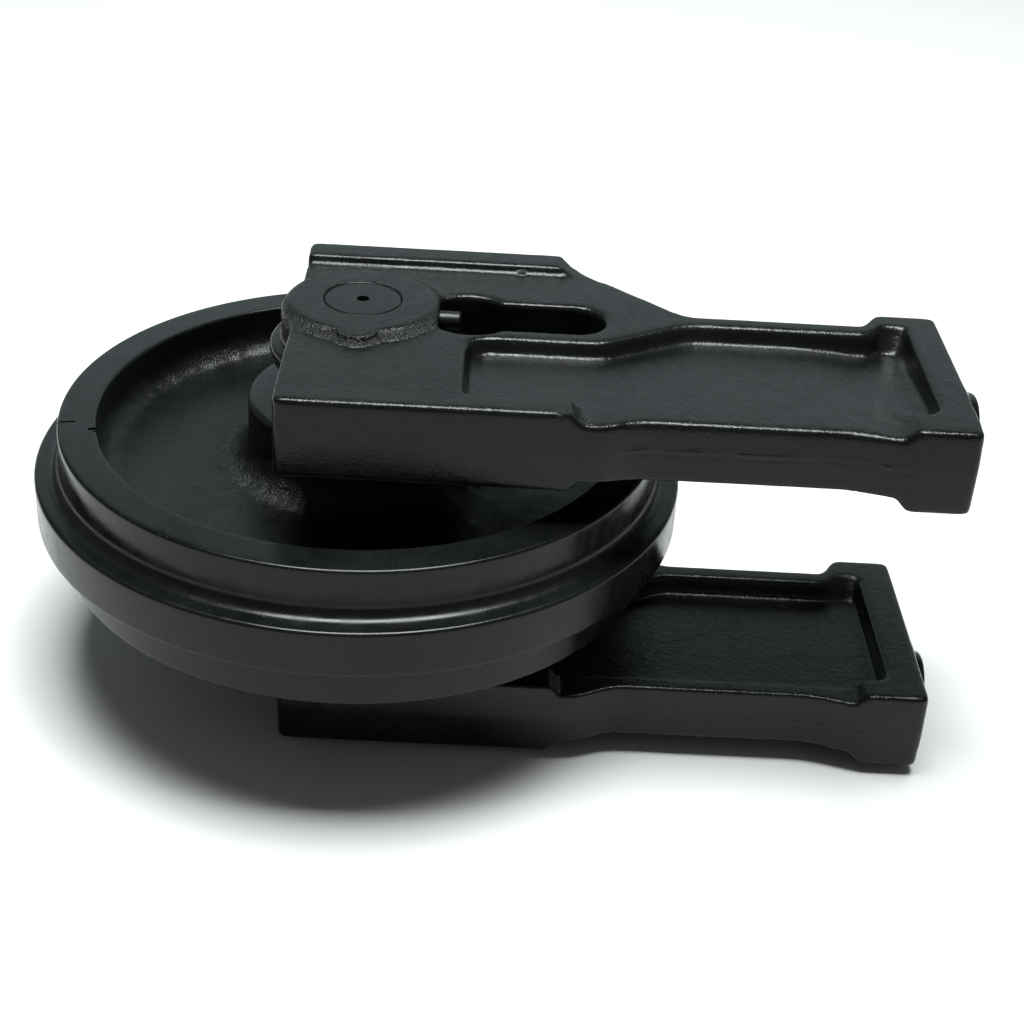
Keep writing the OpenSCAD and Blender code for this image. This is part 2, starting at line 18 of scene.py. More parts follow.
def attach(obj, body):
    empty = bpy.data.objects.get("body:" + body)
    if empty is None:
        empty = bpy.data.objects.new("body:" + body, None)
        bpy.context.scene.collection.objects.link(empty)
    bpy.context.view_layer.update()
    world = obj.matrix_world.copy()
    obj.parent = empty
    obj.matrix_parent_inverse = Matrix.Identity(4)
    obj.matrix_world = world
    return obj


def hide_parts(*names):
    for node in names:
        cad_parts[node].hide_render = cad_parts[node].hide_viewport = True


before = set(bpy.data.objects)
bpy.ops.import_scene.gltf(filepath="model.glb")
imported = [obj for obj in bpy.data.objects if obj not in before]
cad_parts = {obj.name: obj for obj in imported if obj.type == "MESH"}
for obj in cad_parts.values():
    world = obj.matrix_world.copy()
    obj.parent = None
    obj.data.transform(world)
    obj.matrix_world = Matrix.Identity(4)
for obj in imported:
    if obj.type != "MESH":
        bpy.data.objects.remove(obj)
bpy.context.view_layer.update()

LOG = logging.getLogger("front_idler")
MM = 0.001
HASH_PRIMES = np.array([73856093, 19349663, 83492791], dtype=np.int64)
ROUGH = "rough"
ROUND_POINTS = 96
HALF_WAY = 0.5
# Spans of Blender's noise that give clear patches, an even spread and a sharp grain
CLEAR_NOISE = (0.35, 0.65)
WIDE_NOISE = (0.3, 0.7)
GRAIN_NOISE = (0.25, 0.75)
UNIT = (0.0, 1.0)
# Length of Blender's ring wave at a scale of 1, and how far it wavers
WAVE_LENGTH = 0.31416
WAVE_WOBBLE = 0.4
Pair = tuple[float, float]
Colour = tuple[float, float, float]
Corner = tuple[float, float, float]
Socket = bpy.types.NodeSocket
Array = np.ndarray
Mesh = bpy.types.Mesh
Material = bpy.types.Material
Piece = bpy.types.Object


class Side(Enum):
    """The two mirrored ends of the shaft."""

    UPPER = 1
    LOWER = -1

    @property
    def word(self) -> str:
        """The side's word in the names of its pieces."""
        return self.name.lower()


# Noise and mesh helpers


@dataclass(frozen=True)
class Grain:
    """Seeded smooth noise in space, for the skin of a sand casting."""

    seed: int

    def at(self, points: Array, size: float) -> Array:
        """Noise of one size.

        Args:
            points: places in millimetres, one row each.
            size: distance over which the noise changes.

        Returns:
            A value between -1 and 1 for each point.
        """
        spots = points / size + self.seed * 17.31
        cell = np.floor(spots).astype(np.int64)
        part = spots - cell
        ease = part ** 3 * (part * (part * 6 - 15) + 10)
        total = np.zeros(len(points))
        for corner in itertools.product((0, 1), repeat=3):
            key = ((cell + corner) * HASH_PRIMES).sum(axis=1) + self.seed * 7919
            key = (key ^ (key >> 13)) * 1274126177 & 0xFFFFFFFF
            key ^= key >> 16
            share = np.where(corner, ease, 1 - ease).prod(axis=1)
            total += share * ((key & 0xFFFF) / 32767.5 - 1)
        return total

    def layered(self, points: Array, size: float, layers: int) -> Array:
        """Noise with finer layers of half the size and half the height added."""
        return sum(self.at(points, size / 2 ** k) / 2 ** k for k in range(layers))


def ramp(values: Array, low: float, high: float) -> Array:
    """A smooth rise from 0 at low to 1 at high; high may be the smaller one."""
    part = np.clip((values - low) / (high - low), 0, 1)
    return part * part * (3 - 2 * part)


@dataclass(frozen=True)
class Span:
    """A stretch over which something fades in; its low end may be the larger number."""

    low: float
    high: float

    def of(self, values: Array) -> Array:
        """A smooth rise from 0 at low to 1 at high."""
        return ramp(values, self.low, self.high)


Band = tuple[Span, Span]


def within(values: Array, band: Band) -> Array:
    """A rise over the first span and a fall over the second."""
    rise, fall = band
    return rise.of(values) * fall.of(values)


@dataclass(frozen=True)
class Zone:
    """A place that fades in over the spans given along each axis."""

    x: tuple[Pair, ...] = ()
    y: tuple[Pair, ...] = ()
    z: tuple[Pair, ...] = ()

    def of(self, points: Array) -> Array:
        """How far each point lies in the zone, from 0 to 1."""
        share = np.ones(len(points))
        for values, spans in zip(points.T, (self.x, self.y, self.z)):
            for low, high in spans:
                share *= ramp(values, low, high)
        return share


def hill(values: Array, middle: float, width: float) -> Array:
    """A bell curve, 1 at the middle, about 0.37 at one width from it."""
    return np.exp(-(((values - middle) / width) ** 2))


def points_of(mesh: Mesh) -> Array:
    """The mesh's points in millimetres, one row each."""
    flat = np.empty(len(mesh.vertices) * 3, np.float32)
    mesh.vertices.foreach_get("co", flat)
    return flat.reshape(-1, 3).astype(float) / MM


def set_points(mesh: Mesh, points: Array) -> None:
    """Writes points in millimetres back to the mesh."""
    mesh.vertices.foreach_set("co", (points * MM).astype(np.float32).ravel())
    mesh.update()


def normals_of(mesh: Mesh) -> Array:
    """The direction in which the surface looks at each point."""
    flat = np.empty(len(mesh.vertices) * 3, np.float32)
    mesh.vertex_normals.foreach_get("vector", flat)
    return flat.reshape(-1, 3).astype(float)


def edges_of(mesh: Mesh) -> Array:
    """The two point numbers of each edge."""
    flat = np.empty(len(mesh.edges) * 2, np.int32)
    mesh.edges.foreach_get("vertices", flat)
    return flat.reshape(-1, 2)


def mark(mesh: Mesh, name: str, values: Array) -> None:
    """Keeps one number per point on the mesh, for its finish to read."""
    layer = mesh.attributes.new(name, "FLOAT", "POINT")
    layer.data.foreach_set("value", values.astype(np.float32))


def relaxed(points: Array, edges: Array, share: Array, rounds: int) -> Array:
    """Rounds off a mesh by drawing each point towards the middle of its neighbours.

    Args:
        points: places, one row each.
        edges: the two point numbers of each edge.
        share: how far each point goes in one round, from 0 to 1.
        rounds: number of rounds.

    Returns:
        The new places.
    """
    here, there = edges[:, 0], edges[:, 1]
    count = np.maximum(np.bincount(edges.ravel(), minlength=len(points)), 1)
    for _ in range(rounds):
        middle = np.empty_like(points)
        for axis in range(3):
            value = points[:, axis]
            middle[:, axis] = np.bincount(here, value[there], len(points))
            middle[:, axis] += np.bincount(there, value[here], len(points))
        points = points + share[:, None] * (middle / count[:, None] - points)
    return points


def piece_of(name: str, mesh: Mesh) -> Piece:
    """A new object in the scene that shows the mesh."""
    piece = bpy.data.objects.new(name, mesh)
    bpy.context.scene.collection.objects.link(piece)
    return piece


def settle(piece: Piece) -> None:
    """Turns what a piece's modifiers give into its mesh."""
    graph = bpy.context.evaluated_depsgraph_get()
    mesh = bpy.data.meshes.new_from_object(piece.evaluated_get(graph))
    piece.modifiers.clear()
    piece.data = mesh


def cut_away(piece: Piece, cutter: Mesh) -> None:
    """Takes a cutter's shape out of a piece.

    Args:
        piece: the piece to machine.
        cutter: the shape to take out; it is used up.
    """
    tool = piece_of("cutter", cutter)
    cut = piece.modifiers.new("cut", "BOOLEAN")
    cut.operation = "DIFFERENCE"
    cut.solver = "MANIFOLD"
    cut.object = tool
    bpy.context.view_layer.update()
    settle(piece)
    bpy.data.objects.remove(tool)
    bpy.data.meshes.remove(cutter)


def paint(piece: Piece, finish: Material, sharp_angle: float) -> None:
    """Gives a piece its finish, smooth up to edges sharper than an angle in degrees."""
    piece.data.shade_smooth()
    piece.data.set_sharp_from_angle(angle=math.radians(sharp_angle))
    piece.data.materials.clear()
    piece.data.materials.append(finish)


def turned(rings: list[Array]) -> Mesh:
    """A closed solid through a row of rings with equal numbers of points.

    Args:
        rings: points in millimetres of each ring, from one end to the other.

    Returns:
        The solid, its faces looking outwards.
    """
    count = len(rings[0])
    work = bmesh.new()
    rows = [[work.verts.new(Vector(point) * MM) for point in ring] for ring in rings]
    for low, high in zip(rows, rows[1:]):
        for i in range(count):
            j = (i + 1) % count
            work.faces.new((low[i], low[j], high[j], high[i]))
    work.faces.new(rows[0][::-1])
    work.faces.new(rows[-1])
    bmesh.ops.recalc_face_normals(work, faces=work.faces)
    mesh = bpy.data.meshes.new("solid")
    work.to_mesh(mesh)
    work.free()
    return mesh


def round_angles(count: int) -> Array:
    """The directions of a ring's points."""
    return np.arange(count) * 2 * math.pi / count


def circle(radius: float | Array, level: float, count: int = ROUND_POINTS) -> Array:
    """Points of a ring round the shaft axis at one level."""
    angle = round_angles(count)
    return np.stack([radius * np.cos(angle), radius * np.sin(angle), np.full(count, level)], axis=1)


def rod(radius: float, low: float, high: float, count: int = ROUND_POINTS) -> Mesh:
    """A round solid on the shaft axis, from one level to another."""
    return turned([circle(radius, level, count) for level in (low, high)])


def laid_along_x(mesh: Mesh, y: float, z: float) -> Mesh:
    """Lays a solid that stands on the shaft axis along X, its axis at y and z."""
    mesh.transform(Matrix.Translation((0, y * MM, z * MM)) @ Matrix.Rotation(math.pi / 2, 4, "Y"))
    return mesh


def revolved(profile: Array, count: int) -> Mesh:
    """A ring-shaped solid round the shaft axis.

    Args:
        profile: radius and level of each point of its closed section, in millimetres.
        count: number of points round the axis.

    Returns:
        The solid, its faces looking outwards.
    """
    angle = round_angles(count)
    radius, level = profile.T
    rows = np.stack([
        np.outer(np.cos(angle), radius),
        np.outer(np.sin(angle), radius),
        np.broadcast_to(level, (count, len(level))),
    ], axis=2).reshape(-1, 3)
    width = len(profile)
    i, k = np.meshgrid(np.arange(count), np.arange(width), indexing="ij")
    j, m = (i + 1) % count, (k + 1) % width
    faces = np.stack([i * width + k, j * width + k, j * width + m, i * width + m], axis=2)
    mesh = bpy.data.meshes.new("ring")
    mesh.from_pydata(rows * MM, [], faces.reshape(-1, 4).tolist())
    work = bmesh.new()
    work.from_mesh(mesh)
    bmesh.ops.recalc_face_normals(work, faces=work.faces)
    work.to_mesh(mesh)
    work.free()
    return mesh


# Finishes


class Joining(Enum):
    """Ways to join two values of a finish."""

    PLUS = "ADD"
    TIMES = "MULTIPLY"


class NodeSheet:
    """Lays out the nodes of one finish, in the object's own coordinates."""

    def __init__(self, name: str) -> None:
        """Starts a finish with that name."""
        self.material = bpy.data.materials.new(name)
        self.material.use_nodes = True
        self.tree = self.material.node_tree
        self.shader = self.tree.nodes["Principled BSDF"]
        self.place = self.tree.nodes.new("ShaderNodeTexCoord").outputs["Object"]

    def link(self, source: Socket, target: Socket) -> None:
        """Joins two sockets."""
        self.tree.links.new(source, target)

    def feed(self, name: str, source: Socket) -> None:
        """Leads a value to the shader's socket of that name."""
        self.link(source, self.shader.inputs[name])

    def noise(self, size: float, detail: float) -> Socket:
        """Noise over the surface.

        Args:
            size: size of the coarsest grain in millimetres.
            detail: number of finer layers.

        Returns:
            The noise's value, about 0.5 on average.
        """
        node = self.tree.nodes.new("ShaderNodeTexNoise")
        node.inputs["Scale"].default_value = 1 / (size * MM)
        node.inputs["Detail"].default_value = detail
        self.link(self.place, node.inputs["Vector"])
        return node.outputs["Fac"]

    def rings(self, size: float) -> Socket:
        """Fine turning marks round the shaft axis.

        Args:
            size: distance between two marks in millimetres.

        Returns:
            The height of the marks.
        """
        node = self.tree.nodes.new("ShaderNodeTexWave")
        node.wave_type = "RINGS"
        node.rings_direction = "Z"
        node.inputs["Scale"].default_value = WAVE_LENGTH / (size * MM)
        node.inputs["Distortion"].default_value = WAVE_WOBBLE
        self.link(self.place, node.inputs["Vector"])
        return node.outputs["Fac"]

    def read(self, name: str) -> Socket:
        """The number that a mesh keeps at each point under that name."""
        node = self.tree.nodes.new("ShaderNodeAttribute")
        node.attribute_name = name
        return node.outputs["Fac"]

    def fit(self, source: Socket, span: Pair, result: Pair) -> Socket:
        """Maps one span of a value onto another.

        Args:
            source: value to map.
            span: values that give the first and the last result.
            result: first and last result, which nothing goes beyond.

        Returns:
            The mapped value.
        """
        node = self.tree.nodes.new("ShaderNodeMapRange")
        for name, value in zip(("From Min", "From Max", "To Min", "To Max"), (*span, *result)):
            node.inputs[name].default_value = value
        self.link(source, node.inputs["Value"])
        return node.outputs["Result"]

    def join(self, first: Socket, second: Socket, way: Joining = Joining.PLUS) -> Socket:
        """Two values joined into one.

        Args:
            first: first value.
            second: second value.
            way: how they are joined.

        Returns:
            The result.
        """
        node = self.tree.nodes.new("ShaderNodeMath")
        node.operation = way.value
        self.link(first, node.inputs[0])
        self.link(second, node.inputs[1])
        return node.outputs[0]

    def blend(self, share: Socket, first: Colour | Socket, second: Colour) -> Socket:
        """A colour between two colours.

        Args:
            share: 0 gives the first colour, 1 the second.
            first: first colour, or a socket that gives one.
            second: second colour.

        Returns:
            The mixed colour.
        """
        node = self.tree.nodes.new("ShaderNodeMix")
        node.data_type = "RGBA"
        share_in, first_in, second_in = node.inputs[0], node.inputs[6], node.inputs[7]
        self.link(share, share_in)
        if isinstance(first, tuple):
            first_in.default_value = (*first, 1)
        else:
            self.link(first, first_in)
        second_in.default_value = (*second, 1)
        return node.outputs[2]

    def relief(self, height: Socket, depth: float, under: Socket | None = None) -> Socket:
        """Raises the surface by a height map.

        Args:
            height: the map, from 0 to 1.
            depth: height in millimetres that 1 stands for.
            under: relief that this one lies on.

        Returns:
            The direction of the raised surface.
        """
        node = self.tree.nodes.new("ShaderNodeBump")
        node.inputs["Distance"].default_value = depth * MM
        self.link(height, node.inputs["Height"])
        if under is not None:
            self.link(under, node.inputs["Normal"])
        return node.outputs["Normal"]

    def set(self, **values: float) -> None:
        """Sets plain numbers on the shader; a name's underscores stand for spaces."""
        for name, value in values.items():
            self.shader.inputs[name.replace("_", " ")].default_value = value


@dataclass(frozen=True)
class BlackPaint:
    """Black machine paint, sprayed over a rough casting or a turned face."""

    name: str
    dark: Colour = (0.0026, 0.0030, 0.0030)
    light: Colour = (0.0046, 0.0053, 0.0053)
    dust: Colour = (0.035, 0.034, 0.032)
    shine: float = 0.235
    # gloss, and how far clouds, patches, dust and rough places change it
    roughness: float = 0.23
    cloud_gloss: float = 0.05
    patch_gloss: float = 0.06
    dust_gloss: float = 0.25
    rough_gloss: float = 0.12
    # sizes of clouds, patches, dust specks and the drifts that they lie in
    cloud_size: float = 55.0
    patch_size: float = 9.0
    speck_size: float = 1.3
    drift_size: float = 21.0
    speck_noise: Pair = (0.69, 0.76)
    drift_noise: Pair = (0.42, 0.62)
    drift_share: Pair = (0.05, 0.7)
    # relief of the sand's grain, of the paint's peel and of a tool's turning marks
    grain_size: float = 1.15
    grain_depth: float = 0.14
    least_grain: float = 0.36
    most_grain: float = 4.6
    rough_mark: str = ""
    peel_size: float = 3.4
    peel_depth: float = 0.07
    turning_pitch: float = 0.9
    turning_depth: float = 0.0

    def material(self) -> Material:
        """Lays out the paint: mottled colour, dust specks, uneven gloss, grain and peel.

        Returns:
            The finished material.
        """
        sheet = NodeSheet(self.name)
        cloud = sheet.noise(self.cloud_size, 4)
        patch = sheet.noise(self.patch_size, 3)
        colour = sheet.blend(sheet.fit(cloud, CLEAR_NOISE, UNIT), self.dark, self.light)
        speck = sheet.join(
            sheet.fit(sheet.noise(self.speck_size, 1), self.speck_noise, UNIT),
            sheet.fit(sheet.noise(self.drift_size, 2), self.drift_noise, self.drift_share),
            Joining.TIMES,
        )
        sheet.feed("Base Color", sheet.blend(speck, colour, self.dust))
        cloudy = (self.roughness - self.cloud_gloss, self.roughness + self.cloud_gloss)
        gloss = sheet.join(
            sheet.fit(cloud, WIDE_NOISE, cloudy),
            sheet.fit(patch, WIDE_NOISE, (-self.patch_gloss, self.patch_gloss)),
        )
        gloss = sheet.join(gloss, sheet.fit(speck, UNIT, (0, self.dust_gloss)))
        grain = sheet.fit(sheet.noise(self.grain_size, 2), GRAIN_NOISE, UNIT)
        if self.rough_mark:
            rough = sheet.read(self.rough_mark)
            gloss = sheet.join(gloss, sheet.fit(rough, UNIT, (0, self.rough_gloss)))
            amount = sheet.fit(rough, UNIT, (self.least_grain, self.most_grain))
            grain = sheet.join(grain, amount, Joining.TIMES)
        sheet.feed("Roughness", gloss)
        normal = sheet.relief(grain, self.grain_depth)
        normal = sheet.relief(sheet.noise(self.peel_size, 2), self.peel_depth, normal)
        if self.turning_depth > 0:
            normal = sheet.relief(sheet.rings(self.turning_pitch), self.turning_depth, normal)
        sheet.feed("Normal", normal)
        sheet.set(Specular_IOR_Level=self.shine)
        return sheet.material


@dataclass(frozen=True)
class BareMetal:
    """Machined metal with turning marks and stains."""

    name: str
    dark: Colour
    light: Colour
    roughness: float = 0.32
    stain_gloss: float = 0.08
    stain_size: float = 14.0
    mark_pitch: float = 0.5
    mark_depth: float = 0.012
    grain_size: float = 0.8

    def material(self) -> Material:
        """Lays out the metal: stained colour, uneven gloss and turning marks.

        Returns:
            The finished material.
        """
        sheet = NodeSheet(self.name)
        stain = sheet.noise(self.stain_size, 4)
        sheet.feed("Base Color", sheet.blend(sheet.fit(stain, CLEAR_NOISE, UNIT), self.dark, self.light))
        gloss = (self.roughness + self.stain_gloss, self.roughness - self.stain_gloss)
        sheet.feed("Roughness", sheet.fit(stain, WIDE_NOISE, gloss))
        marks = sheet.relief(sheet.rings(self.mark_pitch), self.mark_depth)
        sheet.feed("Normal", sheet.relief(sheet.noise(self.grain_size, 2), self.mark_depth, marks))
        sheet.set(Metallic=1.0)
        return sheet.material


@dataclass(frozen=True)
class SealRubber:
    """Matt black moulded rubber with a bloom on it."""

    name: str
    dark: Colour = (0.012, 0.012, 0.012)
    bloom: Colour = (0.035, 0.034, 0.033)
    bloom_size: float = 7.0
    bloom_noise: Pair = (0.4, 0.7)
    gloss: Pair = (0.6, 0.8)
    grain_size: float = 0.5
    grain_depth: float = 0.02
    shine: float = 0.3

    def material(self) -> Material:
        """Lays out the rubber: bloom in patches and a fine moulded grain.

        Returns:
            The finished material.
        """
        sheet = NodeSheet(self.name)
        cloud = sheet.noise(self.bloom_size, 4)
        sheet.feed("Base Color", sheet.blend(sheet.fit(cloud, self.bloom_noise, UNIT), self.dark, self.bloom))
        sheet.feed("Roughness", sheet.fit(cloud, WIDE_NOISE, self.gloss))
        sheet.feed("Normal", sheet.relief(sheet.noise(self.grain_size, 2), self.grain_depth))
        sheet.set(Specular_IOR_Level=self.shine)
        return sheet.material


# Brackets


@dataclass(frozen=True)
class CastingSizes:
    """Main planes of the upper bracket; the lower one is its mirror image."""

    mid_plane: float = 82.5
    outer_face: float = 104.5
    arm_reach: float = 317.5
    spigot_y: float = -65.0


@dataclass(frozen=True)
class MouldEdges:
    """How soft the mould's edges are, on the upper bracket."""

    least: float = 0.3
    # pockets and slot, up to a far line given by its corners
    hollows: Zone = Zone(x=((44, 50),), z=((88, 94),))
    hollows_end: Span = Span(288, 279)
    end_share: float = 0.3
    far_line_x: tuple[float, ...] = (112, 177, 280, 290)
    far_line_y: tuple[float, ...] = (50, 3, 3, 14)
    far_fade: float = 3.0
    near_edge: Zone = Zone(y=((-98, -106),), z=((88, 94),))
    near_share: float = 0.9
    rail: Zone = Zone(y=((48, 52), (67, 62)), z=((88, 94),))
    rail_share: float = 0.75
    # crisper places: the facet at the near strip's end, the boss with its lug, and the pin
    facet: Pair = (114.0, -106.0)
    facet_reach: Span = Span(14, 9)
    facet_loss: float = 0.6
    boss_reach: Span = Span(60, 52)
    lug_offset: float = 12.0
    boss_share: float = 0.6
    boss_top: Span = Span(104.8, 107)
    boss_top_loss: float = 0.45
    pin_x: float = 42.0
    pin_reach: Span = Span(14, 9)
    pin_loss: float = 0.9

    def share(self, points: Array) -> Array:
        """How far the edges are rounded off: most at pockets, slot and near edge, least at the pin.

        Args:
            points: places on the upper bracket.

        Returns:
            A share from 0 to 1 for each point.
        """
        x, y, z = points.T
        far = np.interp(x, self.far_line_x, self.far_line_y)
        along = self.end_share + (1 - self.end_share) * self.hollows_end.of(x)
        across = ramp(y, far + self.far_fade, far - self.far_fade)
        soft = np.maximum.reduce([
            np.full(len(x), self.least),
            self.hollows.of(points) * along * across,
            self.near_share * self.near_edge.of(points),
            self.rail_share * self.rail.of(points),
        ])
        facet_x, facet_y = self.facet
        soft *= 1 - self.facet_loss * self.facet_reach.of(np.hypot(x - facet_x, y - facet_y))
        boss = self.boss_reach.of(np.hypot(x, np.minimum(y + self.lug_offset, 0) + np.maximum(y, 0)))
        boss_soft = self.boss_share - self.boss_top_loss * self.boss_top.of(z)
        pin = self.pin_reach.of(np.hypot(x - self.pin_x, y))
        return (soft + boss * (boss_soft - soft)) * (1 - self.pin_loss * pin)


@dataclass(frozen=True)
class MouldDraft:
    """How the upper bracket's walls lean, and where it is fuller than its plain solid."""

    sizes: CastingSizes = CastingSizes()
    # near walls, leaning back to both faces, and the strip along the near edge
    near_wall_y: Span = Span(-88, -104)
    near_slope: float = 0.042
    near_back: float = 0.45
    strip: Zone = Zone(((120, 111),), ((-97, -116),), ((92, 104),))
    strip_rise: float = 0.3
    # arm, filled out towards the wheel's middle except at the spigot
    arm_x: Span = Span(116, 150)
    arm_fill: float = 0.13
    spigot_depth: Span = Span(-0.8, -0.3)
    spigot_r: Span = Span(21, 20)
    # far rail
    rail_side: Zone = Zone(((150, 100),), ((57, 69),))
    rail_spread: float = 3.4
    rail_top: Zone = Zone(((150, 100),), ((48, 52),), ((105.2, 108.5),))
    rail_sink: float = 0.8
    # flanged end: its far wall, and the far wall of its pocket, which moves most at the foot
    end_x: Span = Span(276, 285)
    end_far_y: Span = Span(11, 16)
    end_far_shift: float = 2.6
    end_pocket: Zone = Zone(y=((-16, -4.5),), z=((78, 84),))
    end_foot_shift: float = 5.5
    # floor and end wall of that pocket
    floor_start: Pair = (-106.5, 98.0)
    floor_slope: float = 0.035
    floor: Zone = Zone(((230, 288), (304, 298)), ((-92, -72), (12, 6)), ((84, 90),))
    floor_sink: float = 3.0
    wall: Zone = Zone(((288, 296), (312, 302)), ((-92, -86), (18, 10)), ((92, 100),))
    wall_shift: float = 2.2

    def moved(self, points: Array) -> Array:
        """Leans the near walls, fills out the arm, flattens the rail and shapes the flanged end.

        Args:
            points: places on the upper bracket.

        Returns:
            The new places.
        """
        x, y, z = points.T
        away = z - self.sizes.mid_plane
        lean = self.near_wall_y.of(y) * (self.near_slope * np.abs(away) - self.near_back)
        spread = self.rail_spread * self.rail_side.of(points)
        spigot = self.spigot_depth.of(x - self.sizes.arm_reach)
        spigot *= self.spigot_r.of(np.hypot(y - self.sizes.spigot_y, away))
        fuller = self.arm_fill * self.arm_x.of(x) * (1 - spigot)
        start_y, start_z = self.floor_start
        floor = start_z - (y - start_y) * self.floor_slope
        height = np.clip((z - floor) / (self.sizes.outer_face - floor), 0, 1)
        pocket = self.end_pocket.of(points)
        pocket *= self.end_far_shift * height + self.end_foot_shift * (1 - height)
        back = self.end_x.of(x) * (pocket + self.end_far_y.of(y) * (self.end_far_shift - pocket))
        rise = self.strip_rise * self.strip.of(points) + fuller * np.minimum(away, 0)
        rise -= self.rail_sink * self.rail_top.of(points)
        rise -= self.floor_sink * (1 - height) * self.floor.of(points)
        aside = self.wall_shift * self.wall.of(points)
        return points + np.stack([aside, lean + spread + back, rise], axis=1)


@dataclass(frozen=True)
class SandSkin:
    """The unevenness that sand, flash and knocks leave on the upper bracket."""

    seed: int
    sizes: CastingSizes = CastingSizes()
    # size of each wave, its height on smooth places and what rough places add
    waves: tuple[Corner, ...] = ((38, 0.09, 0), (11, 0.02, 0), (4.5, 0.015, 0.12), (2.3, 0.012, 0.26))
    # what counts as lying flat and as standing upright
    lying: Span = Span(0.5, 0.9)
    standing: Span = Span(0.75, 0.35)
    top_rough: float = 0.12
    arm_rough: float = 0.11
    arm_start: Span = Span(126, 140)
    # skirt of the boss and of its lug
    skirt_rough: float = 0.94
    skirt_r: Band = (Span(39.5, 43), Span(56, 49))
    lug_y: float = -38.0
    lug_r: Span = Span(19, 14)
    lug_start: Span = Span(-36, -40)
    skirt_z: Span = Span(100, 103)
    skirt_tilt: Span = Span(0.995, 0.93)
    # chips: place and size; their noise and how far they stand out
    chips: tuple[tuple[float, float, float, float], ...] = (
        (107, -113, 103.5, 4.5),
        (66, -10, 93, 6),
        (86, 55, 106, 3.5),
        (120, -110, 98, 5),
    )
    chip_grain: float = 2.6
    chip_height: float = 0.9
    chip_rise: float = 0.3
    # pits, in fields of their own
    pit_size: float = 2.6
    pit_field: float = 24.0
    pit_depth: float = 0.08
    pit_peaks: Span = Span(0.66, 0.82)
    pit_spread: Span = Span(0.0, 0.5)
    # parting seam on the arms: a broken ridge and a groove under it
    seam_x: Band = (Span(128, 146), Span(292, 284))
    seam_wander: Pair = (16.0, 0.6)
    flash_size: float = 9.0
    flash_breaks: Span = Span(-0.6, 0.4)
    flash_width: float = 0.75
    flash_height: float = 0.45
    groove_place: float = -1.7
    groove_width: float = 0.9
    groove_depth: float = 0.25
    # shifts that keep the noises apart
    pit_shift: float = 31.0
    field_shift: float = 7.0
    chip_shift: float = 3.0
    seam_shift: float = 53.0
    flash_shift: float = 11.0

    def cover(self, points: Array, normals: Array) -> tuple[Array, Array]:
        """The skin of the casting.

        Args:
            points: places on the smooth casting.
            normals: direction in which it looks at each place.

        Returns:
            How far each point is raised, and how rough the paint's grain is there.
        """
        grain = Grain(self.seed)
        flat = np.abs(normals[:, 2])
        wall = self.standing.of(flat)
        chip = sum(ramp(np.linalg.norm(points - spot[:3], axis=1), spot[3], 0) for spot in self.chips)
        rough = self.top_rough * self.lying.of(flat) + self.skirt_rough * self._skirt(points, flat)
        rough = np.clip(rough + self.arm_rough * wall * self.arm_start.of(points[:, 0]) + chip, 0, 1)
        lift = sum((low + more * rough) * grain.at(points, size) for size, low, more in self.waves)
        pit = self.pit_peaks.of(grain.at(points + self.pit_shift, self.pit_size))
        pit *= self.pit_spread.of(grain.at(points + self.field_shift, self.pit_field))
        burr = self.chip_height * grain.at(points + self.chip_shift, self.chip_grain)
        lift += chip * (burr + self.chip_rise)
        lift += wall * self._seam(points, grain) - self.pit_depth * pit
        return lift, rough

    def _skirt(self, points: Array, flat: Array) -> Array:
        """Where the rough skirt of the boss and its lug lies."""
        x, y, z = points.T
        ring = within(np.hypot(x, y), self.skirt_r)
        lug = self.lug_r.of(np.hypot(x, np.minimum(y - self.lug_y, 0))) * self.lug_start.of(y)
        return np.maximum(ring, lug) * self.skirt_z.of(z) * self.skirt_tilt.of(flat)

    def _seam(self, points: Array, grain: Grain) -> Array:
        """Height of the parting seam along the arm's walls."""
        size, wander = self.seam_wander
        level = points[:, 2] - self.sizes.mid_plane - wander * grain.at(points + self.seam_shift, size)
        flash = hill(level, 0, self.flash_width)
        flash *= self.flash_breaks.of(grain.layered(points + self.flash_shift, self.flash_size, 2))
        groove = hill(level, self.groove_place, self.groove_width)
        return within(points[:, 0], self.seam_x) * (self.flash_height * flash - self.groove_depth * groove)


